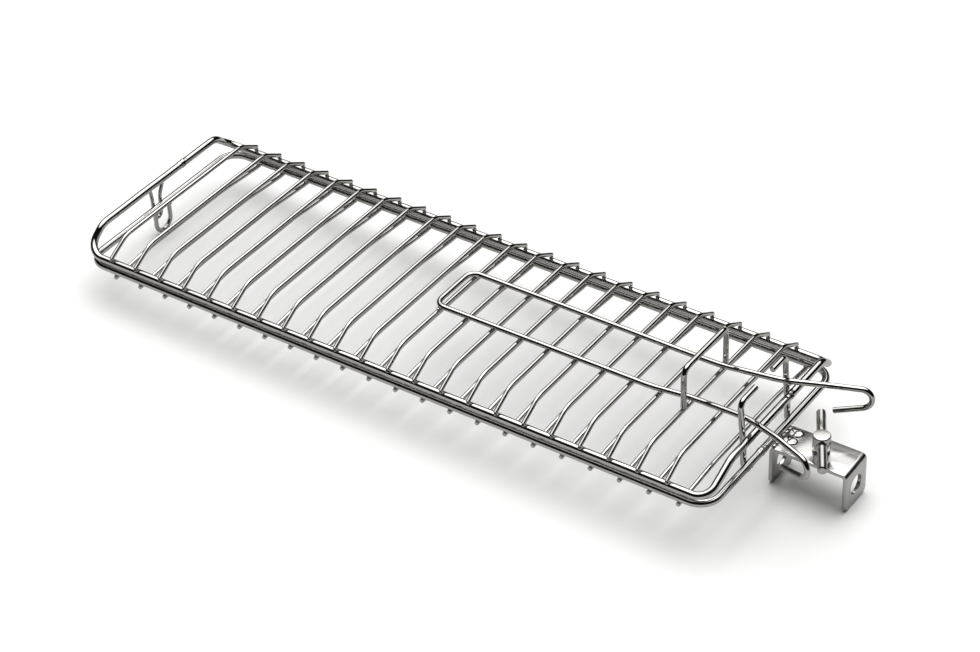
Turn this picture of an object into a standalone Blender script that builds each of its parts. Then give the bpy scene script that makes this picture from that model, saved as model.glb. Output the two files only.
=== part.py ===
"""Flat rotisserie grill basket: hinged wire lid, sprung latch clip and spit bracket.

Units are metres, +Z is up, and +X runs along the basket towards the spit bracket.
Design coordinates start at the middle of the lower frame, on its wire's centre plane.
The root empty lifts them so that the finished object stands on Z = 0.
"""
import bpy
import bmesh
from math import sin, cos, tan, pi, radians, acos
from mathutils import Vector, Matrix

MM = 0.001
GAP = 0.3 * MM                  # air left between pieces that touch or are welded

# ---- wire stock ------------------------------------------------------------------
FRAME_R = 2.5 * MM              # heavy frame wire, radius
GRID_R = 1.45 * MM              # thin cross wires
CLIP_R = 1.85 * MM              # latch clip and guide bail
POST_R = 1.9 * MM               # hooked posts
LID_LOOP_R = 1.3 * MM
BASKET_LOOP_R = 1.5 * MM
SIDES = 2                       # bevel resolution: eight flats round each wire
ARC_STEP = radians(24)          # largest turn between two points of a bend

# ---- frames ----------------------------------------------------------------------
END_X = {-1: -236.3 * MM, 1: 232.3 * MM}    # short sides of the lower frame, centre lines
HALF_W = 75.0 * MM              # both frames, centre line of the long rails
CORNER_R = 13.0 * MM
LID_RAIL_Z = 6.1 * MM           # lid rail above the lower rail
LID_CORNER_X = {-1: -236.6 * MM, 1: 231.4 * MM}
LID_SIDE_X = {-1: -236.0 * MM, 1: 232.2 * MM}   # raised short sides of the lid
LID_SIDE_Y = {-1: (-58.5 * MM, 58.5 * MM), 1: (-49.0 * MM, 59.5 * MM)}  # ends of the raised part
LID_TOP_Z = 19.4 * MM           # level of the lid's flat top and raised sides

# ---- cross wires -----------------------------------------------------------------
WIRES = 22
PITCH = 20.0 * MM
LID_FIRST_X = -214.7 * MM
BASKET_PITCH = 20.3 * MM
BASKET_FIRST_X = -213.2 * MM
TIP_Y = 77.0 * MM               # wire ends, just past the rails
LID_KNEE_Y = 60.0 * MM
KNEE_R = 16.0 * MM
BASKET_SAG_Z = -1.3 * MM        # lower wires, flat middle
BASKET_KNEE_Y = 36.0 * MM

# ---- latch -----------------------------------------------------------------------
POST_Y = 26.0 * MM
POST_LEAN = {-1: 1.3 * MM, 1: -0.7 * MM}  # how far out the tops of the posts lean
POST_FOOT_X = 227.4 * MM
POST_TOP_X = 225.4 * MM
POST_TOP_Z = 43.0 * MM
HOOK_TIP_Y = 9.5 * MM
BAIL_Y = 24.5 * MM
BAIL_TOP_Z = 49.0 * MM
CLIP_Z = LID_TOP_Z + GRID_R + CLIP_R + GAP
CLIP_END_X = 2.3 * MM
CLIP_Y = 20.0 * MM
CLIP_PIVOT_X = 24.0 * MM        # the legs flex from here
FINGER_LOOP_R = 7.0 * MM
FINGER_TAIL = 18.0 * MM
FINGER_TURN = radians(166)

# ---- hinge loops -----------------------------------------------------------------
HINGE_Y = -0.6 * MM
LID_LOOP_X = -240.65 * MM
LID_LOOP_TOP_Y = {-1: 5.8 * MM, 1: 8.2 * MM}
LID_LOOP_END_Y = 3.4 * MM
LID_LOOP_END_Z = -8.2 * MM      # centre of the small bend
LID_LOOP_NECK = (3.9 * MM, 4.6 * MM)    # half width and height of the narrow part's top
BASKET_LOOP_Y = 7.2 * MM
BASKET_LOOP_END_Z = -12.4 * MM  # centre of the large bend

# ---- spit bracket and clamp screw ------------------------------------------------
SHEET = 2.5 * MM
BRACKET_X0 = 232.8 * MM
BRACKET_X1 = 285.0 * MM
BRACKET_Y = 8.0 * MM
BRACKET_W = 25.2 * MM
BRACKET_TOP = -FRAME_R - GAP
BRACKET_H = 27.6 * MM
BEND_R = 3.6 * MM
SPIT_Z = BRACKET_TOP - 14.6 * MM
SPIT_R = 6.5 * MM
CORNER_CUT = 3.2 * MM
SCREW_X = 264.5 * MM
SCREW_Y = 1.2 * MM
SHANK_R = 3.2 * MM
SHANK_LOW = -8.0 * MM
BOSS_R = 5.4 * MM
BOSS_TOP = 4.2 * MM
HEAD_LOW = 5.4 * MM
HEAD_TOP = 16.4 * MM
HEAD_R = 5.5 * MM
BAR_R = 3.0 * MM
BAR_HALF = 27.5 * MM
BAR_Z = 11.5 * MM
BAR_TURN = radians(-60.2)
WELD_Y = 11.2 * MM
WELD_R = 4.5 * MM
WELD_H = 2.6 * MM

# ---- where the design stands in the world ----------------------------------------
STAND = Vector((-21.525 * MM, 0.0, -(BRACKET_TOP - BRACKET_H)))

for old in list(bpy.data.objects):
    bpy.data.objects.remove(old, do_unlink=True)

scene = bpy.context.scene
parts = bpy.data.collections.new("rotisserie_grill_basket")
cutters = bpy.data.collections.new("cutters")
scene.collection.children.link(parts)
scene.collection.children.link(cutters)


def chrome(name, tone, roughness):
    mat = bpy.data.materials.new(name)
    mat.use_nodes = True
    shader = mat.node_tree.nodes["Principled BSDF"]
    shader.inputs["Base Color"].default_value = (*tone, 1.0)
    shader.inputs["Metallic"].default_value = 1.0
    shader.inputs["Roughness"].default_value = roughness
    mat.diffuse_color = (*tone, 1.0)
    return mat


FRAME_MAT = chrome("chrome_frame_wire", (0.80, 0.80, 0.79), 0.08)
GRID_MAT = chrome("chrome_grid_wire", (0.82, 0.82, 0.81), 0.10)
LATCH_MAT = chrome("chrome_latch_wire", (0.80, 0.80, 0.80), 0.09)
LOOP_MAT = chrome("chrome_hinge_loop", (0.78, 0.78, 0.77), 0.12)
SHEET_MAT = chrome("chrome_sheet", (0.84, 0.85, 0.86), 0.14)
WELD_MAT = chrome("chrome_weld", (0.76, 0.76, 0.75), 0.18)
SCREW_MAT = chrome("chrome_screw", (0.77, 0.77, 0.76), 0.16)


# ---- placing ---------------------------------------------------------------------
def empty(name, at, parent=None):
    """An axis marker; `at` is in design coordinates."""
    marker = bpy.data.objects.new(name, None)
    marker.empty_display_size = 0.01
    parts.objects.link(marker)
    marker["at"] = tuple(at)
    if parent is None:
        marker.location = Vector(at) + STAND
    else:
        marker.parent = parent
        marker.location = Vector(at) - Vector(parent["at"])
    return marker


def place(obj, at, parent, mat):
    parts.objects.link(obj)
    obj.parent = parent
    obj.location = Vector(at) - Vector(parent["at"])
    obj.data.materials.append(mat)
    return obj


# ---- wires -----------------------------------------------------------------------
def bend(points, radii, closed=False):
    """Round the corners of a polyline; radii is one number or one per point."""
    points = [Vector(p) for p in points]
    count = len(points)
    if not hasattr(radii, "__len__"):
        radii = [radii] * count
    path = []
    for i, corner in enumerate(points):
        if not closed and i in (0, count - 1):
            path.append(corner)
            continue
        back = (points[i - 1] - corner).normalized()
        ahead = (points[(i + 1) % count] - corner).normalized()
        inside = acos(max(-1.0, min(1.0, back.dot(ahead))))
        turn = pi - inside
        if turn < radians(2) or radii[i] <= 0:
            path.append(corner)
            continue
        run = radii[i] / tan(inside / 2)
        centre = corner + (back + ahead).normalized() * (radii[i] / sin(inside / 2))
        start = corner + back * run - centre
        axis = start.cross(corner + ahead * run - centre).normalized()
        steps = max(2, round(turn / ARC_STEP))
        path += [centre + Matrix.Rotation(turn * k / steps, 3, axis) @ start
                 for k in range(steps + 1)]
    return path


def wire(name, path, radius, at, parent, mat, closed=False):
    """A round wire along a path in design coordinates, with its origin at `at`."""
    curve = bpy.data.curves.new(name, "CURVE")
    curve.dimensions = "3D"
    curve.bevel_depth = radius
    curve.bevel_resolution = SIDES
    curve.use_fill_caps = True
    spline = curve.splines.new("POLY")
    spline.points.add(len(path) - 1)
    for point, where in zip(spline.points, path):
        point.co = (*(Vector(where) - Vector(at)), 1.0)
    spline.use_cyclic_u = closed
    spline.use_smooth = True
    return place(bpy.data.objects.new(name, curve), at, parent, mat)


# ---- solids ----------------------------------------------------------------------
def mesh_object(name, bm):
    bmesh.ops.recalc_face_normals(bm, faces=bm.faces)
    mesh = bpy.data.meshes.new(name)
    bm.to_mesh(mesh)
    bm.free()
    return bpy.data.objects.new(name, mesh)


def prism(name, outline, depth, to_xyz):
    """A closed prism; to_xyz(u, v, w) maps the outline and w = -depth/2 .. depth/2."""
    bm = bmesh.new()
    ends = [[bm.verts.new(to_xyz(u, v, w)) for u, v in outline] for w in (-depth / 2, depth / 2)]
    bm.faces.new(ends[0])
    bm.faces.new(ends[1])
    count = len(outline)
    for i in range(count):
        j = (i + 1) % count
        bm.faces.new((ends[0][i], ends[0][j], ends[1][j], ends[1][i]))
    return mesh_object(name, bm)


def disc(radius, steps):
    return [(radius * cos(2 * pi * k / steps), radius * sin(2 * pi * k / steps))
            for k in range(steps)]


def turned(name, profile, steps=24):
    """A profile of (radius, z) pairs turned about Z; it starts and ends on the axis,
    or closes on itself when it stays clear of the axis."""
    mesh = bpy.data.meshes.new(name)
    edges = [(i, i + 1) for i in range(len(profile) - 1)]
    if profile[0][0] > 0:
        edges.append((len(profile) - 1, 0))
    mesh.from_pydata([(r, 0.0, z) for r, z in reversed(profile)], edges, [])
    obj = bpy.data.objects.new(name, mesh)
    screw = obj.modifiers.new("turn", "SCREW")
    screw.steps = steps
    screw.render_steps = steps
    screw.use_merge_vertices = True
    screw.merge_threshold = 0.00001
    screw.use_normal_calculate = False
    screw.use_smooth_shade = True
    return obj


def combine(obj, cutter, at, parent, operation="DIFFERENCE"):
    """Take a cutter, placed in design coordinates, out of obj, or join it on."""
    cutters.objects.link(cutter)
    cutter.parent = parent
    cutter.location = Vector(at) - Vector(parent["at"])
    cutter.hide_render = True
    cutter.display_type = "WIRE"
    boolean = obj.modifiers.new(cutter.name, "BOOLEAN")
    boolean.operation = operation
    boolean.solver = "EXACT"
    boolean.object = cutter


def smooth(obj):
    for poly in obj.data.polygons:
        poly.use_smooth = True
    obj.data.set_sharp_from_angle(angle=radians(35))


# ==== axes ========================================================================
basket = empty("basket_origin", (0, 0, 0))
lid = empty("lid_hinge_axis", (END_X[-1], 0, 0), basket)
clip_axis = {side: empty(f"latch_flex_axis_{name}", (CLIP_PIVOT_X, side * CLIP_Y, CLIP_Z), lid)
             for side, name in ((-1, "front"), (1, "back"))}
screw_axis = empty("clamp_screw_axis", (SCREW_X, SCREW_Y, BRACKET_TOP), basket)

# ==== frames ======================================================================
outline = [(END_X[-1], -HALF_W, 0), (END_X[1], -HALF_W, 0), (END_X[1], HALF_W, 0),
           (END_X[-1], HALF_W, 0)]
wire("lower_frame", bend(outline, CORNER_R, True), FRAME_R, (0, 0, 0), basket, FRAME_MAT, True)

lid_outline = []
for end, order in ((1, (0, 1)), (-1, (1, 0))):
    low = [(LID_CORNER_X[end], (-HALF_W, HALF_W)[i], LID_RAIL_Z) for i in order]
    high = [(LID_SIDE_X[end], LID_SIDE_Y[end][i], LID_TOP_Z) for i in order]
    lid_outline += [low[0], high[0], high[1], low[1]]
lid_radii = [10 * MM, 14 * MM, 13 * MM, 12 * MM] + [12 * MM, 13 * MM, 13 * MM, 12 * MM]
wire("lid_frame", bend(lid_outline, lid_radii, True), FRAME_R, (0, 0, LID_RAIL_Z), lid,
     FRAME_MAT, True)

# ==== cross wires =================================================================
lid_tip_z = LID_RAIL_Z + FRAME_R + GRID_R + GAP
basket_tip_z = -FRAME_R - GRID_R - GAP
for k in range(WIRES):
    x = LID_FIRST_X + k * PITCH
    half = [(TIP_Y, lid_tip_z), (HALF_W - 0.6 * MM, lid_tip_z + 0.1 * MM), (LID_KNEE_Y, LID_TOP_Z)]
    path = [(x, -y, z) for y, z in half] + [(x, y, z) for y, z in reversed(half)]
    wire(f"lid_wire_{k + 1:02d}", bend(path, [0, 0, KNEE_R, KNEE_R, 0, 0]), GRID_R,
         (x, 0, LID_TOP_Z), lid, GRID_MAT)

    x = BASKET_FIRST_X + k * BASKET_PITCH
    half = [(TIP_Y, basket_tip_z), (HALF_W - 3 * MM, basket_tip_z), (BASKET_KNEE_Y, BASKET_SAG_Z)]
    path = [(x, -y, z) for y, z in half] + [(x, y, z) for y, z in reversed(half)]
    wire(f"basket_wire_{k + 1:02d}", path, GRID_R, (x, 0, BASKET_SAG_Z), basket, GRID_MAT)

# ==== hinge loops =================================================================
hinge_shift = Vector((0, HINGE_Y, 0))
low, high = BASKET_LOOP_END_Z, -FRAME_R - GAP - 0.05 * MM
steps = 8
left_x = END_X[-1]
path = [(left_x, -BASKET_LOOP_Y, high)]
path += [(left_x, -BASKET_LOOP_Y * cos(pi * k / steps), low - BASKET_LOOP_Y * sin(pi * k / steps))
         for k in range(steps + 1)]
path += [(left_x, BASKET_LOOP_Y, high)]
path = [Vector(p) + hinge_shift for p in path]
wire("basket_hinge_loop", path, BASKET_LOOP_R, (left_x, 0, 0), basket, LOOP_MAT)

beside = LID_SIDE_X[-1] - FRAME_R - LID_LOOP_R - GAP
end_y, end_z = LID_LOOP_END_Y, LID_LOOP_END_Z
legs = {side: bend([(beside, side * LID_LOOP_TOP_Y[side], LID_TOP_Z + 1.4 * MM),
                    (beside, side * LID_LOOP_TOP_Y[side], LID_TOP_Z - 4 * MM),
                    (LID_LOOP_X, side * LID_LOOP_NECK[0], LID_LOOP_NECK[1]),
                    (LID_LOOP_X, side * end_y, end_z)], [0, 8 * MM, 12 * MM, 0])
        for side in (-1, 1)}
loop = legs[-1]
loop += [Vector((LID_LOOP_X, -end_y * cos(pi * k / steps), end_z - end_y * sin(pi * k / steps)))
         for k in range(1, steps)]
loop += reversed(legs[1])
wire("lid_hinge_loop", [p + hinge_shift for p in loop], LID_LOOP_R, (left_x, 0, 0), lid, LOOP_MAT)

# ==== latch: posts, bail and clip =================================================
for side, name in ((-1, "front"), (1, "back")):
    foot_z = -FRAME_R - POST_R - 0.45 * MM
    top_y = side * (POST_Y + POST_LEAN[side])
    path = [(END_X[1] - 0.4 * MM, side * POST_Y, foot_z), (POST_FOOT_X, side * POST_Y, foot_z),
            (POST_FOOT_X, side * POST_Y, LID_RAIL_Z), (POST_TOP_X, top_y, POST_TOP_Z),
            (POST_TOP_X, side * HOOK_TIP_Y, POST_TOP_Z)]
    wire(f"hook_post_{name}", bend(path, [0, 3.2 * MM, 30 * MM, 4.5 * MM, 0]), POST_R,
         (POST_FOOT_X, side * POST_Y, 0), basket, FRAME_MAT)

bail_x = LID_FIRST_X + 20 * PITCH
bail_foot = LID_TOP_Z + GRID_R + GAP
path = [(bail_x, -BAIL_Y, bail_foot), (bail_x, -BAIL_Y, BAIL_TOP_Z),
        (bail_x, BAIL_Y, BAIL_TOP_Z), (bail_x, BAIL_Y, bail_foot)]
wire("latch_guide_bail", bend(path, 5 * MM), CLIP_R, (bail_x, 0, LID_TOP_Z), lid, LATCH_MAT)

split = 0.15 * MM
path = [(CLIP_PIVOT_X - split, -CLIP_Y, CLIP_Z), (CLIP_END_X, -CLIP_Y, CLIP_Z),
        (CLIP_END_X, CLIP_Y, CLIP_Z), (CLIP_PIVOT_X - split, CLIP_Y, CLIP_Z)]
wire("latch_clip_yoke", bend(path, 7 * MM), CLIP_R, (CLIP_END_X, 0, CLIP_Z), lid, LATCH_MAT)

LEG = [(160.0, 19.6, 23.05), (186.0, 18.0, 24.7), (227.0, 21.0, 28.0), (250.0, 28.6, 29.2),
       (270.5, 36.6, 29.0)]
for side, name in ((-1, "front"), (1, "back")):
    path = [(CLIP_PIVOT_X + split, side * CLIP_Y, CLIP_Z)]
    path += [(x * MM, side * y * MM, z * MM) for x, y, z in LEG]
    leg = bend(path, [0, 150 * MM, 100 * MM, 55 * MM, 80 * MM, 0])
    last = leg[-1]
    out = Vector((0.93, side * 0.366, 0.0)).normalized()
    down = Vector((0, 0, -1))
    leg += [last + (out * sin(a) + down * (1 - cos(a))) * FINGER_LOOP_R
            for a in (FINGER_TURN * k / 8 for k in range(1, 9))]
    leg.append(leg[-1] + (out * cos(FINGER_TURN) + down * sin(FINGER_TURN)) * FINGER_TAIL)
    axis = clip_axis[side]
    wire(f"latch_clip_leg_{name}", leg, CLIP_R, axis["at"], axis, LATCH_MAT)

# ==== spit bracket ================================================================
x0, x1 = BRACKET_X0, BRACKET_X1
top, foot = BRACKET_TOP, BRACKET_TOP - BRACKET_H
arc = [radians(15 * k) for k in range(7)]
outer, inner = BEND_R, BEND_R - SHEET
profile = [(x0, foot)]
profile += [(x0 + outer - outer * cos(a), top - outer + outer * sin(a)) for a in arc]
profile += [(x1 - outer + outer * sin(a), top - outer + outer * cos(a)) for a in arc]
profile += [(x1, foot), (x1 - SHEET, foot)]
profile += [(x1 - outer + inner * cos(a), top - outer + inner * sin(a)) for a in arc]
profile += [(x0 + outer - inner * sin(a), top - outer + inner * cos(a)) for a in arc]
profile += [(x0 + SHEET, foot)]
bracket = prism("spit_bracket", profile, BRACKET_W, lambda u, v, w: (u, w, v))
place(bracket, (0, BRACKET_Y, 0), basket, SHEET_MAT)

mid_x, length = (x0 + x1) / 2, (x1 - x0) * 1.4
hole = prism("spit_hole_cutter", disc(SPIT_R, 24), length, lambda u, v, w: (w, u, v))
combine(bracket, hole, (mid_x, BRACKET_Y, SPIT_Z), basket)
for side, name in ((-1, "front"), (1, "back")):
    c = CORNER_CUT
    wedge = [(side * (BRACKET_W / 2 - c), -1 * MM - c), (side * (BRACKET_W / 2 + 1 * MM + c), -1 * MM - c),
             (side * (BRACKET_W / 2 + 1 * MM + c), c + 1 * MM + c), (side * (BRACKET_W / 2), c),
             (side * (BRACKET_W / 2 - 0.3 * c), 0.42 * c), (side * (BRACKET_W / 2 - c), 0.0)]
    corner = prism(f"corner_cutter_{name}", wedge, length, lambda u, v, w: (w, u, v))
    combine(bracket, corner, (mid_x, BRACKET_Y, foot), basket)
shank_hole = prism("shank_hole_cutter", disc(SHANK_R + 0.4 * MM, 24), 4 * SHEET,
                   lambda u, v, w: (u, v, w))
combine(bracket, shank_hole, (SCREW_X, SCREW_Y, BRACKET_TOP - SHEET / 2), basket)
smooth(bracket)

weld_x = END_X[1] + FRAME_R + GAP + WELD_R
dome = [(0.0, 0.0), (WELD_R, 0.0)]
dome += [(WELD_R * cos(a), 0.2 * MM + (WELD_H - 0.2 * MM) * sin(a))
         for a in (radians(18 * k) for k in range(5))]
dome += [(0.0, WELD_H)]
lobe_y = WELD_R - 0.3 * MM
bead = turned("weld_bead", dome, 16)
place(bead, (weld_x, WELD_Y - lobe_y, BRACKET_TOP + GAP), basket, WELD_MAT)
lobe = turned("weld_lobe", dome, 16)
combine(bead, lobe, (weld_x, WELD_Y + lobe_y, BRACKET_TOP + GAP), basket, "UNION")

# ==== clamp screw =================================================================
boss_low = BRACKET_TOP + GAP
bore = SHANK_R + 0.4 * MM
c = 0.6 * MM
rings = [(bore, boss_low), (BOSS_R, boss_low), (BOSS_R, BOSS_TOP - c), (BOSS_R - c, BOSS_TOP),
         (bore, BOSS_TOP)]
axis_at = Vector((SCREW_X, SCREW_Y, 0))
place(turned("clamp_boss", rings), axis_at, basket, SCREW_MAT)

shank = [(0.0, SHANK_LOW), (SHANK_R - c, SHANK_LOW), (SHANK_R, SHANK_LOW + c),
         (SHANK_R, HEAD_LOW - GAP), (0.0, HEAD_LOW - GAP)]
place(turned("clamp_screw_shank", shank), axis_at, screw_axis, SCREW_MAT)

head = [(0.0, HEAD_LOW), (HEAD_R - 1.2 * MM, HEAD_LOW), (HEAD_R, HEAD_LOW + 2.3 * MM),
        (HEAD_R, HEAD_TOP - c), (HEAD_R - c, HEAD_TOP), (0.0, HEAD_TOP)]
head = place(turned("clamp_screw_head", head), axis_at, screw_axis, SCREW_MAT)
bar_hole = prism("bar_hole_cutter", disc(BAR_R + GAP, 24), 4 * HEAD_R, lambda u, v, w: (w, u, v))
combine(head, bar_hole, axis_at + Vector((0, 0, BAR_Z)), screw_axis)
bar_hole.rotation_euler.z = BAR_TURN

end = Vector((cos(BAR_TURN), sin(BAR_TURN), 0)) * BAR_HALF
middle = axis_at + Vector((0, 0, BAR_Z))
nose = end * (1 - 0.8 * MM / BAR_HALF)
bar = wire("tommy_bar", [middle - end, middle - nose, middle + nose, middle + end], BAR_R, middle,
           screw_axis, SCREW_MAT)
bar.data.bevel_resolution = 4
for i in (0, 3):
    bar.data.splines[0].points[i].radius = 0.78
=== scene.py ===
"""Looks for a flat rotisserie grill basket: chrome-plated wire, its welds, a bent sheet
bracket and a clamp screw.

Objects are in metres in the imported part's own frame. Shapes are written in millimetres
from HOME, a point level with the lower frame, and HOME, the place of every wire and the wire
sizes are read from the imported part.
"""
import bpy
import bmesh
from math import sin, cos, tan, pi, radians, acos
from mathutils import Vector, Matrix, noise


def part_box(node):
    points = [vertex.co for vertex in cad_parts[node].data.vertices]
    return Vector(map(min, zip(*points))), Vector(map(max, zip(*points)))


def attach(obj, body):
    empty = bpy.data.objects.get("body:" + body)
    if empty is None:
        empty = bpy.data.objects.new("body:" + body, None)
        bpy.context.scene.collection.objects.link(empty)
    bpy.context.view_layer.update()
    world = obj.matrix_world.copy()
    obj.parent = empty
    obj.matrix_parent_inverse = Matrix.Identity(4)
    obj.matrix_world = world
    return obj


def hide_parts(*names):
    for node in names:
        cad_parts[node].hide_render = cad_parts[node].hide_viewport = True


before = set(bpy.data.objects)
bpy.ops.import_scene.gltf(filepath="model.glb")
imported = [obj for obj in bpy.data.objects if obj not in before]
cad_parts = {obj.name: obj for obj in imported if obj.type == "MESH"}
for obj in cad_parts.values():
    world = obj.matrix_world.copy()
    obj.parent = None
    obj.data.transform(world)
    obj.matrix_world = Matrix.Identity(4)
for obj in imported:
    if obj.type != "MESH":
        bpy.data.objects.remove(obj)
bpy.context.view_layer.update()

MM = 0.001


def middle(node):
    low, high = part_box(node)
    return (low + high) / 2


def size(node):
    low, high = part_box(node)
    return high - low


# ==== sizes, in millimetres =======================================================
FRAME_R = size("lower_frame").z / 2 / MM
END_X = {-1: -236.3, 1: 232.3}  # short sides of the lower frame
HOME = middle("lower_frame") - Vector((sum(END_X.values()) / 2 * MM, 0, 0))
GRID_R = size("lid_wire_01").x / 2 / MM
CLIP_R = size("latch_clip_yoke").z / 2 / MM
RING_R = size("basket_hinge_loop").x / 2 / MM
POST_R = 1.9
LID_LOOP_R = 1.3
HALF_W = size("lower_frame").y / 2 / MM - FRAME_R
CORNER_R = 13.0
GAP = 0.3                       # air the solids keep between welded pieces

LID_RAIL_Z = (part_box("lid_frame")[0] - HOME).z / MM + FRAME_R
LID_TOP_Z = (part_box("lid_frame")[1] - HOME).z / MM - FRAME_R
LID_CORNER_X = {-1: -236.6, 1: 231.4}
LID_SIDE_X = {-1: -236.0, 1: 232.2}             # raised short sides of the lid
LID_SIDE_Y = {-1: (-58.5, 58.5), 1: (-49.0, 59.5)}
LID_BENDS = [10, 14, 13, 12, 12, 13, 13, 12]    # bend radii, from the front right corner on
TIP_Y = 76.85                   # where the cross wires end
LID_KNEE_Y = 60.0
LID_KNEE_R = 16.0
BASKET_KNEE_Y = 36.0
BASKET_MIDDLE_Z = -1.3
BASKET_BENDS = [0, 10, 90, 90, 10, 0]
HINGE_Y = (middle("basket_hinge_loop") - HOME).y / MM
RING_HALF = size("basket_hinge_loop").y / 2 / MM - RING_R
RING_LOW = (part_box("basket_hinge_loop")[0] - HOME).z / MM
LOOP_X = END_X[-1] - 4.35       # the lid's loop hangs just outside the bar
LOOP_TOP_Y = {-1: 5.8, 1: 8.2}
LOOP_NECK = (3.9, 4.6)          # half width and height of its narrow part's top
LOOP_END_Y = 3.4
LOOP_END_Z = -8.2
LOOP_STEPS = 24                 # round half a turn of wire

POST_Y = 26.0
POST_LEAN = {-1: 1.3, 1: -0.7}  # how much further out each hook's top stands
POST_FOOT_X = 227.4
POST_TOP_X = 225.4
POST_TOP_Z = 43.0
HOOK_TIP_Y = 9.5
CLIP_Z = (middle("latch_clip_yoke") - HOME).z / MM
CLIP_END_X = 2.3
CLIP_Y = 20.0
CLIP_PIVOT_X = 24.0
FINGER_LOOP_R = 7.0
FINGER_TAIL = 18.0
FINGER_TURN = radians(166)
BAIL_Y = 24.5
BAIL_TOP_Z = 49.0

SHEET = 2.5
BRACKET_LOW = (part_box("spit_bracket")[0] - HOME) / MM
BRACKET_HIGH = (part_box("spit_bracket")[1] - HOME) / MM
BRACKET_Y = (BRACKET_LOW.y + BRACKET_HIGH.y) / 2
BEND_R = 3.6
SPIT_DROP = 14.6
SPIT_R = 6.5
FLANGE_CORNER = 3.4
SCREW_X = (middle("clamp_screw_head") - HOME).x / MM
SCREW_Y = (middle("clamp_screw_head") - HOME).y / MM
SHANK_R = 3.2
SHANK_LOW = (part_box("clamp_screw_shank")[0] - HOME).z / MM
SHANK_TOP = (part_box("clamp_screw_shank")[1] - HOME).z / MM
THREAD_PITCH = 1.25
BOSS_R = 5.4
BOSS_TOP = (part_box("clamp_boss")[1] - HOME).z / MM
HEAD_R = 5.5
HEAD_LOW = (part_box("clamp_screw_head")[0] - HOME).z / MM
HEAD_TOP = (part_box("clamp_screw_head")[1] - HOME).z / MM
BAR_R = 3.0
BAR_HALF = 27.5
BAR_Z = (middle("tommy_bar") - HOME).z / MM
BAR_TURN = radians(-60.2)
WELD_Y = 11.2

SIDES = 20                      # flats round a wire
ARC_STEP = radians(5)           # turn between two rings of a bend
RING_STEP = 7.0                 # distance between rings on a straight
WAVER = 0.07                    # how far a drawn wire strays from straight


# ==== metal =======================================================================
def chrome(name, tone, roughness, spread, dents, dent_size, grime=0.0):
    """Plated steel. Roughness drifts by `spread` from patch to patch, `dents` is the
    height in metres of a waviness of `dent_size` metres left under the plating, and
    `grime` darkens it in small patches."""
    mat = bpy.data.materials.new(name)
    mat.use_nodes = True
    nodes, links = mat.node_tree.nodes, mat.node_tree.links
    shader = nodes["Principled BSDF"]
    shader.inputs["Metallic"].default_value = 1.0
    place = nodes.new("ShaderNodeTexCoord")

    def grain(scale, detail):
        texture = nodes.new("ShaderNodeTexNoise")
        texture.inputs["Scale"].default_value = scale
        texture.inputs["Detail"].default_value = detail
        links.new(place.outputs["Object"], texture.inputs["Vector"])
        return texture.outputs["Fac"]

    def ramp(source, low, high, start, end):
        span = nodes.new("ShaderNodeMapRange")
        span.inputs["From Min"].default_value = start
        span.inputs["From Max"].default_value = end
        span.inputs["To Min"].default_value = low
        span.inputs["To Max"].default_value = high
        links.new(source, span.inputs["Value"])
        return span.outputs["Result"]

    haze = grain(70.0, 4.0)
    links.new(ramp(haze, roughness, roughness + spread, 0.35, 0.7), shader.inputs["Roughness"])

    dirt = nodes.new("ShaderNodeMix")
    dirt.data_type = "RGBA"
    dirt.inputs["A"].default_value = (*tone, 1.0)
    dirt.inputs["B"].default_value = (*[c * 0.55 for c in tone], 1.0)
    links.new(ramp(grain(420.0, 5.0), 0.0, grime, 0.45, 0.75), dirt.inputs["Factor"])
    links.new(dirt.outputs["Result"], shader.inputs["Base Color"])

    bump = nodes.new("ShaderNodeBump")
    bump.inputs["Strength"].default_value = 1.0
    bump.inputs["Distance"].default_value = dents
    links.new(grain(1.0 / dent_size, 2.0), bump.inputs["Height"])
    links.new(bump.outputs["Normal"], shader.inputs["Normal"])
    return mat


WARM = (0.45, 0.441, 0.423)
CLEAR = (0.50, 0.493, 0.475)
METAL = {
    "chrome_frame_wire": chrome("plated_frame_wire", CLEAR, 0.02, 0.04, 6e-6, 0.012, 0.04),
    "chrome_grid_wire": chrome("plated_grid_wire", WARM, 0.02, 0.04, 6e-6, 0.012, 0.04),
    "chrome_latch_wire": chrome("plated_latch_wire", WARM, 0.02, 0.04, 6e-6, 0.012, 0.04),
    "chrome_hinge_loop": chrome("plated_hinge_loop", WARM, 0.06, 0.08, 8e-6, 0.004, 0.30),
    "chrome_sheet": chrome("plated_sheet", CLEAR, 0.21, 0.03, 1e-6, 0.014, 0.04),
    "chrome_weld": chrome("plated_weld", WARM, 0.10, 0.12, 2.5e-5, 0.002, 0.45),
    "chrome_screw": chrome("plated_screw", WARM, 0.17, 0.05, 1.5e-6, 0.004, 0.08),
}


def finish_piece(obj, body, slot, *nodes):
    """Gives a finished mesh its metal and its place in the moving part."""
    obj.data.materials.clear()
    obj.data.materials.append(METAL[slot])
    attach(obj, body)
    if nodes:
        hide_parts(*nodes)
    return obj


def to_object(name, bm, crease=40):
    """A mesh object from a bmesh in millimetres from HOME."""
    bmesh.ops.transform(bm, matrix=Matrix.Translation(HOME) @ Matrix.Scale(MM, 4), verts=bm.verts)
    bmesh.ops.recalc_face_normals(bm, faces=bm.faces)
    mesh = bpy.data.meshes.new(name)
    bm.to_mesh(mesh)
    bm.free()
    obj = bpy.data.objects.new(name, mesh)
    bpy.context.scene.collection.objects.link(obj)
    shade(obj, crease)
    return obj


def shade(obj, crease):
    for poly in obj.data.polygons:
        poly.use_smooth = True
    obj.data.set_sharp_from_angle(angle=radians(crease))


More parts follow.
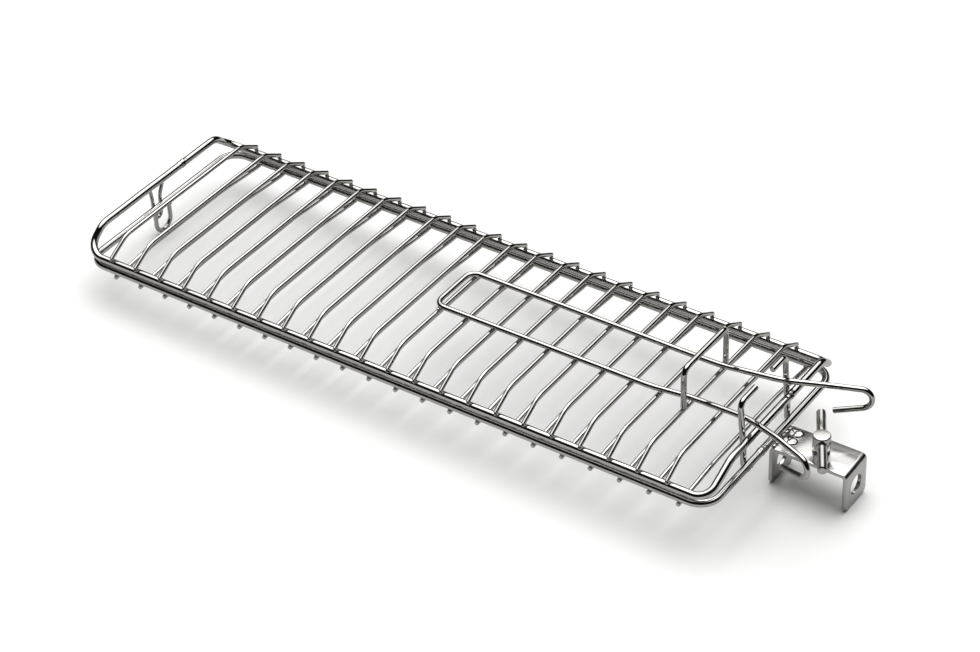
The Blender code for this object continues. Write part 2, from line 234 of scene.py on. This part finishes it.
# ==== wire ========================================================================
def bend(points, radii, closed=False):
    """Rounds the corners of a polyline; radii is one number or one per point."""
    points = [Vector(p) for p in points]
    count = len(points)
    if not hasattr(radii, "__len__"):
        radii = [radii] * count
    path = []
    for i, corner in enumerate(points):
        if not closed and i in (0, count - 1):
            path.append(corner)
            continue
        back = (points[i - 1] - corner).normalized()
        ahead = (points[(i + 1) % count] - corner).normalized()
        inside = acos(max(-1.0, min(1.0, back.dot(ahead))))
        turn = pi - inside
        if turn < radians(1) or radii[i] <= 0:
            path.append(corner)
            continue
        run = radii[i] / tan(inside / 2)
        centre = corner + (back + ahead).normalized() * (radii[i] / sin(inside / 2))
        start = corner + back * run - centre
        axis = start.cross(corner + ahead * run - centre).normalized()
        steps = max(4, round(turn / ARC_STEP))
        path += [centre + Matrix.Rotation(turn * k / steps, 3, axis) @ start
                 for k in range(steps + 1)]
    return path


def spaced(path, closed):
    """The path with extra points on its straights, each strayed a little as drawn wire is."""
    count = len(path)
    out = []
    for i in range(count if closed else count - 1):
        a, b = path[i], path[(i + 1) % count]
        pieces = max(1, round((b - a).length / RING_STEP))
        out += [a.lerp(b, k / pieces) for k in range(pieces)]
    if not closed:
        out.append(path[-1])
    return [p + noise.noise_vector(p * 0.035) * WAVER for p in out]


def sweep(bm, path, radius, closed=False, swell=None):
    """A round wire along a path. swell(i, count) scales the radius ring by ring."""
    path = [Vector(p) for p in path]
    count = len(path)
    steps = [(path[(i + 1) % count] - path[i]).normalized() for i in range(count)]
    along = []
    for i in range(count):
        before = steps[i - 1] if closed or i > 0 else steps[0]
        after = steps[i] if closed or i < count - 1 else steps[count - 2]
        along.append((before + after).normalized())
    side = along[0].cross(Vector((0.3, 0.2, 1.0))).normalized()
    sides = [side]
    for i in range(1, count):
        side = along[i - 1].rotation_difference(along[i]) @ side
        sides.append(side)
    twist = 0.0
    if closed:
        last = along[-1].rotation_difference(along[0]) @ sides[-1]
        twist = last.angle(sides[0])
        if last.cross(sides[0]).dot(along[0]) < 0:
            twist = -twist
    rings = []
    for i, (point, tangent, across) in enumerate(zip(path, along, sides)):
        across = Matrix.Rotation(twist * i / count, 3, tangent) @ across
        up = tangent.cross(across)
        r = radius * (swell(i, count) if swell else 1.0)
        rings.append([bm.verts.new(point + (across * cos(a) + up * sin(a)) * r)
                      for a in (2 * pi * k / SIDES for k in range(SIDES))])
    if closed:
        rings.append(rings[0])
    for a, b in zip(rings, rings[1:]):
        for k in range(SIDES):
            j = (k + 1) % SIDES
            bm.faces.new((a[k], a[j], b[j], b[k]))
    if not closed:
        bm.faces.new(rings[0])
        bm.faces.new(rings[-1])
    return bm


def cut_ends(path, radius):
    """Adds the short steps at both ends of a path that a cut wire's chamfer needs."""
    trim = 0.16 * radius
    first = path[0] + (path[1] - path[0]).normalized() * trim
    last = path[-1] + (path[-2] - path[-1]).normalized() * trim
    return [path[0], first] + path[1:-1] + [last, path[-1]]


def chamfered(i, count):
    return 0.86 if i in (0, count - 1) else 1.0


def wire(node, path, radius, body, slot, closed=False):
    """The finished wire that stands for one CAD node."""
    path = spaced(path, closed)
    if not closed:
        path = cut_ends(path, radius)
    bm = sweep(bmesh.new(), path, radius, closed, None if closed else chamfered)
    return finish_piece(to_object(f"{node}_drawn", bm), body, slot, node)


# ==== welds =======================================================================
def nugget(bm, at, radii, seed, rough=0.16, fineness=3):
    """A lump of weld metal: an ellipsoid with an uneven skin."""
    made = bmesh.ops.create_icosphere(bm, subdivisions=fineness, radius=1.0)["verts"]
    drift = Vector((seed * 3.7, seed * 1.3, seed * 2.1))
    for v in made:
        swell = 1.0 + rough * noise.noise(v.co * 1.4 + drift) + 0.4 * rough * noise.noise(
            v.co * 3.6 + drift)
        v.co = Vector(at) + Vector([c * r for c, r in zip(v.co * swell, radii)])
    return bm


def butt_weld(bm, at, length, seed):
    """The lumpy collar where a frame wire's two ends meet, on a bar along Y."""
    x, y, z = at
    rings = 15
    path = [(x, y + length * (i / (rings - 1) - 0.5), z) for i in range(rings)]
    before = len(bm.verts)
    sweep(bm, path, FRAME_R, False, lambda i, n: 0.97 + 0.11 * sin(pi * i / (n - 1)))
    bm.verts.ensure_lookup_table()
    centre = Vector(at)
    for v in bm.verts[before:]:
        reach = sin(pi * min(1.0, max(0.0, (v.co.y - y) / length + 0.5)))
        radial = Vector((v.co.x - x, 0, v.co.z - z)).normalized()
        lump = noise.noise((v.co - centre) * 0.55 + Vector((seed, 0, 0)))
        v.co += radial * (0.45 * lump * reach)


# ==== frames ======================================================================
outline = [(END_X[-1], -HALF_W, 0), (END_X[1], -HALF_W, 0), (END_X[1], HALF_W, 0),
           (END_X[-1], HALF_W, 0)]
wire("lower_frame", bend(outline, CORNER_R, True), FRAME_R, "basket", "chrome_frame_wire", True)

lid_outline = []
for end, order in ((1, (0, 1)), (-1, (1, 0))):
    low = [(LID_CORNER_X[end], (-HALF_W, HALF_W)[i], LID_RAIL_Z) for i in order]
    high = [(LID_SIDE_X[end], LID_SIDE_Y[end][i], LID_TOP_Z) for i in order]
    lid_outline += [low[0], high[0], high[1], low[1]]
wire("lid_frame", bend(lid_outline, LID_BENDS, True), FRAME_R, "lid", "chrome_frame_wire", True)

# ==== cross wires =================================================================
lid_tip_z = LID_RAIL_Z + FRAME_R + GRID_R + GAP
basket_tip_z = -FRAME_R - GRID_R - GAP
lid_xs, basket_xs = [], []
for k in range(1, 23):
    x = (middle(f"lid_wire_{k:02d}") - HOME).x / MM
    lid_xs.append(x)
    half = [(TIP_Y, lid_tip_z - 0.45), (LID_KNEE_Y, LID_TOP_Z)]
    path = [(x, -y, z) for y, z in half] + [(x, y, z) for y, z in reversed(half)]
    wire(f"lid_wire_{k:02d}", bend(path, LID_KNEE_R), GRID_R, "lid", "chrome_grid_wire")

    x = (middle(f"basket_wire_{k:02d}") - HOME).x / MM
    basket_xs.append(x)
    half = [(TIP_Y, basket_tip_z), (HALF_W - 3, basket_tip_z), (BASKET_KNEE_Y, BASKET_MIDDLE_Z)]
    path = [(x, -y, z) for y, z in half] + [(x, y, z) for y, z in reversed(half)]
    wire(f"basket_wire_{k:02d}", bend(path, BASKET_BENDS), GRID_R, "basket", "chrome_grid_wire")

lid_welds, basket_welds = bmesh.new(), bmesh.new()
for k, (lid_x, basket_x) in enumerate(zip(lid_xs, basket_xs)):
    for side in (-1, 1):
        seed = k * 2 + side
        nugget(lid_welds, (lid_x, side * (HALF_W + 1.0), LID_RAIL_Z + FRAME_R - 0.1),
               (1.6, 1.4, 0.8), seed)
        nugget(basket_welds, (basket_x, side * HALF_W, -FRAME_R - 0.1), (1.7, 1.5, 0.6), seed + 50)

# ==== hinge loops =================================================================
high = -FRAME_R - GAP - 0.05
turn_z = RING_LOW + RING_R + RING_HALF
left_x = END_X[-1]
ring = [(left_x, HINGE_Y - RING_HALF, high)]
ring += [(left_x, HINGE_Y - RING_HALF * cos(a), turn_z - RING_HALF * sin(a))
         for a in (pi * k / LOOP_STEPS for k in range(LOOP_STEPS + 1))]
ring += [(left_x, HINGE_Y + RING_HALF, high)]
wire("basket_hinge_loop", [Vector(p) for p in ring], RING_R, "basket", "chrome_hinge_loop")

beside = LID_SIDE_X[-1] - FRAME_R - LID_LOOP_R - GAP
neck_y, neck_z = LOOP_NECK
legs = {side: bend([(beside, side * LOOP_TOP_Y[side], LID_TOP_Z - 1.5),
                    (beside, side * LOOP_TOP_Y[side], LID_TOP_Z - 4),
                    (LOOP_X, side * neck_y, neck_z),
                    (LOOP_X, side * LOOP_END_Y, LOOP_END_Z)], [0, 8, 12, 0]) for side in (-1, 1)}
loop = legs[-1] + [Vector((LOOP_X, -LOOP_END_Y * cos(a), LOOP_END_Z - LOOP_END_Y * sin(a)))
                   for a in (pi * k / LOOP_STEPS for k in range(1, LOOP_STEPS))] + legs[1][::-1]
wire("lid_hinge_loop", [p + Vector((0, HINGE_Y, 0)) for p in loop], LID_LOOP_R, "lid",
     "chrome_hinge_loop")

for side in (-1, 1):
    nugget(basket_welds, (left_x, HINGE_Y + side * RING_HALF, high + 0.1), (2.1, 2.2, 1.1),
           71 + side)
    nugget(lid_welds, (LID_SIDE_X[-1] - FRAME_R - 0.1, HINGE_Y + side * LOOP_TOP_Y[side],
                       LID_TOP_Z - 2.0), (0.9, 1.7, 1.2), 75 + side)

# ==== latch: posts, bail and clip =================================================
for side, name in ((-1, "front"), (1, "back")):
    foot_z = -FRAME_R - POST_R - 0.45
    top_y = side * (POST_Y + POST_LEAN[side])
    path = [(END_X[1] - 0.4, side * POST_Y, foot_z), (POST_FOOT_X, side * POST_Y, foot_z),
            (POST_FOOT_X, side * POST_Y, LID_RAIL_Z), (POST_TOP_X, top_y, POST_TOP_Z),
            (POST_TOP_X, side * HOOK_TIP_Y, POST_TOP_Z)]
    wire(f"hook_post_{name}", bend(path, [0, 3.2, 30, 4.5, 0]), POST_R, "basket",
         "chrome_frame_wire")
    nugget(basket_welds, (END_X[1] - 0.6, side * POST_Y, -FRAME_R - 0.2), (2.2, 2.3, 1.0),
           80 + side)

bail_x = (middle("latch_guide_bail") - HOME).x / MM
bail_foot = LID_TOP_Z + GRID_R + GAP
path = [(bail_x, -BAIL_Y, bail_foot), (bail_x, -BAIL_Y, BAIL_TOP_Z),
        (bail_x, BAIL_Y, BAIL_TOP_Z), (bail_x, BAIL_Y, bail_foot)]
wire("latch_guide_bail", bend(path, 5.0), CLIP_R, "lid", "chrome_latch_wire")
for side in (-1, 1):
    nugget(lid_welds, (bail_x, side * BAIL_Y, bail_foot), (1.9, 2.0, 0.8), 90 + side)
    nugget(lid_welds, (lid_xs[11], side * CLIP_Y, LID_TOP_Z + GRID_R + 0.1), (1.6, 1.6, 0.6),
           94 + side)

path = [(CLIP_PIVOT_X, -CLIP_Y, CLIP_Z), (CLIP_END_X, -CLIP_Y, CLIP_Z),
        (CLIP_END_X, CLIP_Y, CLIP_Z), (CLIP_PIVOT_X, CLIP_Y, CLIP_Z)]
wire("latch_clip_yoke", bend(path, 7.0), CLIP_R, "lid", "chrome_latch_wire")

LEG = [(160.0, 19.6, 23.05), (186.0, 18.0, 24.7), (227.0, 21.0, 28.0), (250.0, 28.6, 29.2),
       (270.5, 36.6, 29.0)]
for side, name in ((-1, "front"), (1, "back")):
    path = [(CLIP_PIVOT_X - 0.6, side * CLIP_Y, CLIP_Z)] + [(x, side * y, z) for x, y, z in LEG]
    leg = bend(path, [0, 150, 100, 55, 80, 0])
    out, down, last = Vector((0.93, side * 0.366, 0.0)).normalized(), Vector((0, 0, -1)), leg[-1]
    leg += [last + (out * sin(a) + down * (1 - cos(a))) * FINGER_LOOP_R
            for a in (FINGER_TURN * k / LOOP_STEPS for k in range(1, LOOP_STEPS + 1))]
    leg.append(leg[-1] + (out * cos(FINGER_TURN) + down * sin(FINGER_TURN)) * FINGER_TAIL)
    wire(f"latch_clip_leg_{name}", leg, CLIP_R, f"clip_leg_{name}", "chrome_latch_wire")


# ==== spit bracket ================================================================
def prism(outline, depth, to_xyz):
    """A closed prism; to_xyz(u, v, w) maps the outline and w = -depth/2 .. depth/2."""
    bm = bmesh.new()
    ends = [[bm.verts.new(to_xyz(u, v, w)) for u, v in outline] for w in (-depth / 2, depth / 2)]
    bm.faces.new(ends[0])
    bm.faces.new(ends[1])
    for i in range(len(outline)):
        j = (i + 1) % len(outline)
        bm.faces.new((ends[0][i], ends[0][j], ends[1][j], ends[1][i]))
    return bm


def settle(obj):
    """Applies the modifiers."""
    graph = bpy.context.evaluated_depsgraph_get()
    mesh = bpy.data.meshes.new_from_object(obj.evaluated_get(graph))
    obj.modifiers.clear()
    obj.data = mesh


def carve(obj, *cutters):
    for cutter in cutters:
        boolean = obj.modifiers.new("cut", "BOOLEAN")
        boolean.operation = "DIFFERENCE"
        boolean.solver = "EXACT"
        boolean.object = cutter
    settle(obj)
    for cutter in cutters:
        bpy.data.objects.remove(cutter)


def soften(obj, width, segments, crease=25):
    """Rounds the sharp edges by `width` millimetres."""
    edge = obj.modifiers.new("edge", "BEVEL")
    edge.width = width * MM
    edge.segments = segments
    edge.limit_method = "ANGLE"
    edge.angle_limit = radians(40)
    settle(obj)
    shade(obj, crease)


def disc(radius, steps):
    return [(radius * cos(2 * pi * k / steps), radius * sin(2 * pi * k / steps))
            for k in range(steps)]


x0, foot = BRACKET_LOW.x, BRACKET_LOW.z
x1, top = BRACKET_HIGH.x, BRACKET_HIGH.z
arc = [radians(7.5 * k) for k in range(13)]
outer, inner = BEND_R, BEND_R - SHEET
profile = [(x0, foot)]
profile += [(x0 + outer - outer * cos(a), top - outer + outer * sin(a)) for a in arc]
profile += [(x1 - outer + outer * sin(a), top - outer + outer * cos(a)) for a in arc]
profile += [(x1, foot), (x1 - SHEET, foot)]
profile += [(x1 - outer + inner * cos(a), top - outer + inner * sin(a)) for a in arc]
profile += [(x0 + outer - inner * sin(a), top - outer + inner * cos(a)) for a in arc]
profile += [(x0 + SHEET, foot)]
half_width = (BRACKET_HIGH.y - BRACKET_LOW.y) / 2
bracket = to_object("spit_bracket_pressed", prism(
    profile, 2 * half_width, lambda u, v, w: (u, BRACKET_Y + w, v)))

mid_x, reach = (x0 + x1) / 2, (x1 - x0) * 1.4
spit_hole = to_object("spit_hole", prism(disc(SPIT_R, 72), reach, lambda u, v, w: (
    mid_x + w, BRACKET_Y + u, top - SPIT_DROP + v)))
cutters = [spit_hole]
c = FLANGE_CORNER
for side in (-1, 1):
    rim = [(side * (half_width - c + c * sin(a)), foot + c - c * cos(a))
           for a in (radians(9 * k) for k in range(11))]
    rim += [(side * (half_width + 1), foot + c), (side * (half_width + 1), foot - 1),
            (side * (half_width - c), foot - 1)]
    cutters.append(to_object("flange_corner", prism(rim, reach, lambda u, v, w: (
        mid_x + w, BRACKET_Y + u, v))))
cutters.append(to_object("shank_hole", prism(disc(SHANK_R + 0.4, 48), 4 * SHEET, lambda u, v, w: (
    SCREW_X + u, SCREW_Y + v, top + w))))
carve(bracket, *cutters)
soften(bracket, 0.28, 3)
finish_piece(bracket, "basket", "chrome_sheet", "spit_bracket")

beads = bmesh.new()
for side, seed in ((-1, 3), (1, 8)):
    at = (END_X[1] + FRAME_R + 5.0, WELD_Y + side * 4.2, top - 0.2)
    nugget(beads, at, (5.6, 4.6, 1.9), seed, 0.05, 4)
finish_piece(to_object("weld_bead_cooled", beads, 60), "basket", "chrome_weld", "weld_bead")

# the frames' own butt welds and the bracket's root run
butt_weld(basket_welds, (END_X[1], -13.0, 0), 9.0, 11.0)
butt_weld(lid_welds, (LID_SIDE_X[1], 20.0, LID_TOP_Z), 8.0, 23.0)
butt_weld(lid_welds, (LID_SIDE_X[-1], 24.0, LID_TOP_Z), 10.0, 37.0)
for k in range(6):
    y = BRACKET_Y - 9.5 + 3.8 * k
    nugget(basket_welds, (END_X[1] + 1.2, y, -FRAME_R - 0.1), (2.3, 2.3, 0.9), 100 + k)
finish_piece(to_object("lid_welds", lid_welds, 60), "lid", "chrome_weld")
finish_piece(to_object("basket_welds", basket_welds, 60), "basket", "chrome_weld")


# ==== clamp screw =================================================================
def lathe(bm, profile, at, steps=72):
    """Turns (radius, height) pairs about a vertical axis; closes on itself off the axis."""
    at = Vector(at)
    rings = []
    for r, z in profile:
        if r == 0:
            rings.append([bm.verts.new(at + Vector((0, 0, z)))] * steps)
        else:
            rings.append([bm.verts.new(at + Vector((r * cos(a), r * sin(a), z)))
                          for a in (2 * pi * k / steps for k in range(steps))])
    if profile[0][0] > 0:
        rings.append(rings[0])
    for low, high in zip(rings, rings[1:]):
        for i in range(steps):
            j = (i + 1) % steps
            corners = list(dict.fromkeys((low[i], low[j], high[j], high[i])))
            bm.faces.new(corners)
    return bm


axis = (SCREW_X, SCREW_Y, 0)
bore = SHANK_R + 0.4
boss = [(bore, top + GAP), (BOSS_R, top + GAP), (BOSS_R, BOSS_TOP - 0.7), (BOSS_R - 0.7, BOSS_TOP),
        (bore + 0.5, BOSS_TOP), (bore, BOSS_TOP - 0.5)]
finish_piece(to_object("clamp_boss_turned", lathe(bmesh.new(), boss, axis), 30), "basket",
             "chrome_screw", "clamp_boss")

core = SHANK_R - 0.62
shank = [(0.0, SHANK_LOW), (core - 0.5, SHANK_LOW), (core, SHANK_LOW + 0.6), (core, SHANK_TOP),
         (0.0, SHANK_TOP)]
screw = lathe(bmesh.new(), shank, axis, 48)
turns = (SHANK_TOP - SHANK_LOW - 2.2) / THREAD_PITCH
steps = 40
rings = []
for i in range(round(turns * steps) + 1):
    a = 2 * pi * i / steps
    z = SHANK_LOW + 1.1 + THREAD_PITCH * i / steps
    fade = min(1.0, i / steps * 1.5, (turns * steps - i) / steps * 1.5 + 0.02)
    crest = core + max(0.03, fade) * (SHANK_R - core)
    root = core - 0.15
    section = [(root, -0.56), (crest, -0.10), (crest, 0.10), (root, 0.56)]
    rings.append([screw.verts.new((SCREW_X + r * cos(a), SCREW_Y + r * sin(a),
                                   z + h * THREAD_PITCH)) for r, h in section])
for low, high in zip(rings, rings[1:]):
    for i in range(4):
        j = (i + 1) % 4
        screw.faces.new((low[i], low[j], high[j], high[i]))
screw.faces.new(rings[0])
screw.faces.new(rings[-1])
finish_piece(to_object("clamp_screw_shank_threaded", screw, 30), "clamp_shank", "chrome_screw",
             "clamp_screw_shank")

head = [(0.0, HEAD_LOW), (HEAD_R - 1.2, HEAD_LOW), (HEAD_R, HEAD_LOW + 2.3),
        (HEAD_R, HEAD_TOP - 0.5), (HEAD_R - 0.5, HEAD_TOP), (0.0, HEAD_TOP)]
head = to_object("clamp_screw_head_turned", lathe(bmesh.new(), head, axis), 30)
turn = Matrix.Rotation(BAR_TURN, 3, "Z")
bar_axis = Vector((SCREW_X, SCREW_Y, BAR_Z))
bar_hole = to_object("bar_hole", prism(disc(BAR_R + 0.25, 64), 4 * HEAD_R, lambda u, v, w: (
    bar_axis + turn @ Vector((w, u, v)))))
carve(head, bar_hole)
soften(head, 0.18, 2, 30)
finish_piece(head, "clamp_screw", "chrome_screw", "clamp_screw_head")

end = turn @ Vector((BAR_HALF, 0, 0))
unit = end.normalized()
stops = [-BAR_HALF, -BAR_HALF + 0.25, -BAR_HALF + 0.8, -BAR_HALF / 2, 0, BAR_HALF / 2,
         BAR_HALF - 0.8, BAR_HALF - 0.25, BAR_HALF]
widths = [0.74, 0.86, 1.0, 1.0, 1.0, 1.0, 1.0, 0.86, 0.74]
bar = sweep(bmesh.new(), [bar_axis + unit * s for s in stops], BAR_R, False,
            lambda i, n: widths[i])
finish_piece(to_object("tommy_bar_turned", bar, 30), "clamp_screw", "chrome_screw", "tommy_bar")

# ==== floor =======================================================================
# The basket stands on the bracket's inner flange and the hinge ring, so the floor is laid
# through those two: it falls away a little under the outer flange.
ring_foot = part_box("basket_hinge_loop")[0]
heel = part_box("spit_bracket")[0]
slope = (ring_foot.z - heel.z) / (ring_foot.x - heel.x)
floor_mesh = bpy.data.meshes.new("floor")
sheet_x, sheet_y = 0.55, 0.50   # half the sheet of paper; white lies beyond it
floor_mesh.from_pydata([(x, y, heel.z + slope * (x - heel.x) - 0.0001)
                        for x, y in ((-sheet_x, -sheet_y), (sheet_x, -sheet_y),
                                     (sheet_x, sheet_y), (-sheet_x, sheet_y))],
                       [], [(0, 1, 2, 3)])
floor = bpy.data.objects.new("floor", floor_mesh)
bpy.context.scene.collection.objects.link(floor)
paper = bpy.data.materials.new("white_paper")
paper.use_nodes = True
paper_nodes, paper_links = paper.node_tree.nodes, paper.node_tree.links
paper_shader = paper_nodes["Principled BSDF"]
paper_shader.inputs["Roughness"].default_value = 0.9
paper_shader.inputs["Specular IOR Level"].default_value = 0.1
# the floor is brightened to white for the camera, but the metal mirrors a darker paper: painted
# shade in the floor's reflections
paper_ray = paper_nodes.new("ShaderNodeLightPath")
paper_and_reflected_shade = paper_nodes.new("ShaderNodeMix")
paper_and_reflected_shade.data_type = "RGBA"
paper_and_reflected_shade.inputs["A"].default_value = (0.80, 0.80, 0.795, 1)
# painted shade: the darker paper that only the metal's reflections show
paper_and_reflected_shade.inputs["B"].default_value = (0.53, 0.53, 0.52, 1)
paper_links.new(paper_ray.outputs["Is Glossy Ray"], paper_and_reflected_shade.inputs["Factor"])
paper_links.new(paper_and_reflected_shade.outputs["Result"], paper_shader.inputs["Base Color"])
floor_mesh.materials.append(paper)

# ==== light =======================================================================
# One broad soft light overhead, brighter in its middle, in an otherwise dark room, so that every
# wire carries a white band with a hard black edge. The camera sees plain white past the floor.
LIGHT_TOWARDS = Vector((-0.129, 0.268, 0.955)).normalized()
LIGHT_SPREAD, LIGHT_EDGE = radians(41), radians(3)
LIGHT_POWER = 2.4
CORE_SPREAD, CORE_EDGE = radians(23), radians(6)
CORE_POWER = 4.4
ROOM_LEVEL = 0.012
BACKDROP_LEVEL = 1.5

world = bpy.data.worlds.new("studio")
bpy.context.scene.world = world
world.use_nodes = True
nodes, links = world.node_tree.nodes, world.node_tree.links
nodes.clear()
direction = nodes.new("ShaderNodeTexCoord").outputs["Generated"]


def total(a, b):
    """The sum of a socket and a socket or a number."""
    node = nodes.new("ShaderNodeMath")
    node.operation = "ADD"
    for value, socket in ((a, node.inputs[0]), (b, node.inputs[1])):
        if isinstance(value, (int, float)):
            socket.default_value = value
        else:
            links.new(value, socket)
    return node.outputs[0]


def towards(vector, near, far, level):
    """`level` within the angle `near` of a direction, nothing beyond `far`."""
    dot = nodes.new("ShaderNodeVectorMath")
    dot.operation = "DOT_PRODUCT"
    links.new(direction, dot.inputs[0])
    dot.inputs[1].default_value = vector
    edge = nodes.new("ShaderNodeMapRange")
    edge.interpolation_type = "SMOOTHSTEP"
    edge.inputs["From Min"].default_value = cos(far)
    edge.inputs["From Max"].default_value = cos(near)
    edge.inputs["To Min"].default_value = 0.0
    edge.inputs["To Max"].default_value = level
    links.new(dot.outputs["Value"], edge.inputs["Value"])
    return edge.outputs["Result"]


softbox = towards(LIGHT_TOWARDS, LIGHT_SPREAD - LIGHT_EDGE, LIGHT_SPREAD + LIGHT_EDGE, LIGHT_POWER)
core = towards(LIGHT_TOWARDS, CORE_SPREAD - CORE_EDGE, CORE_SPREAD + CORE_EDGE, CORE_POWER)
glow = total(total(softbox, core), ROOM_LEVEL)
lamp = nodes.new("ShaderNodeBackground")
links.new(glow, lamp.inputs["Strength"])
backdrop = nodes.new("ShaderNodeBackground")
backdrop.inputs["Strength"].default_value = BACKDROP_LEVEL
seen = nodes.new("ShaderNodeLightPath")
mix = nodes.new("ShaderNodeMixShader")
links.new(seen.outputs["Is Camera Ray"], mix.inputs["Fac"])
links.new(lamp.outputs["Background"], mix.inputs[1])
links.new(backdrop.outputs["Background"], mix.inputs[2])
links.new(mix.outputs["Shader"], nodes.new("ShaderNodeOutputWorld").inputs["Surface"])

# ==== camera ======================================================================
lens = bpy.data.cameras.new("camera")
lens.sensor_width = 36.0
lens.lens = 107.2
lens.clip_start = 0.05
camera = bpy.data.objects.new("camera", lens)
camera.location = (0.8565, -1.1854, 1.1370)
camera.rotation_euler = (radians(52.865), radians(1.887), radians(34.176))
bpy.context.scene.collection.objects.link(camera)
bpy.context.scene.camera = camera
bpy.context.scene.view_settings.view_transform = "Standard"
bpy.context.scene.view_settings.look = "None"
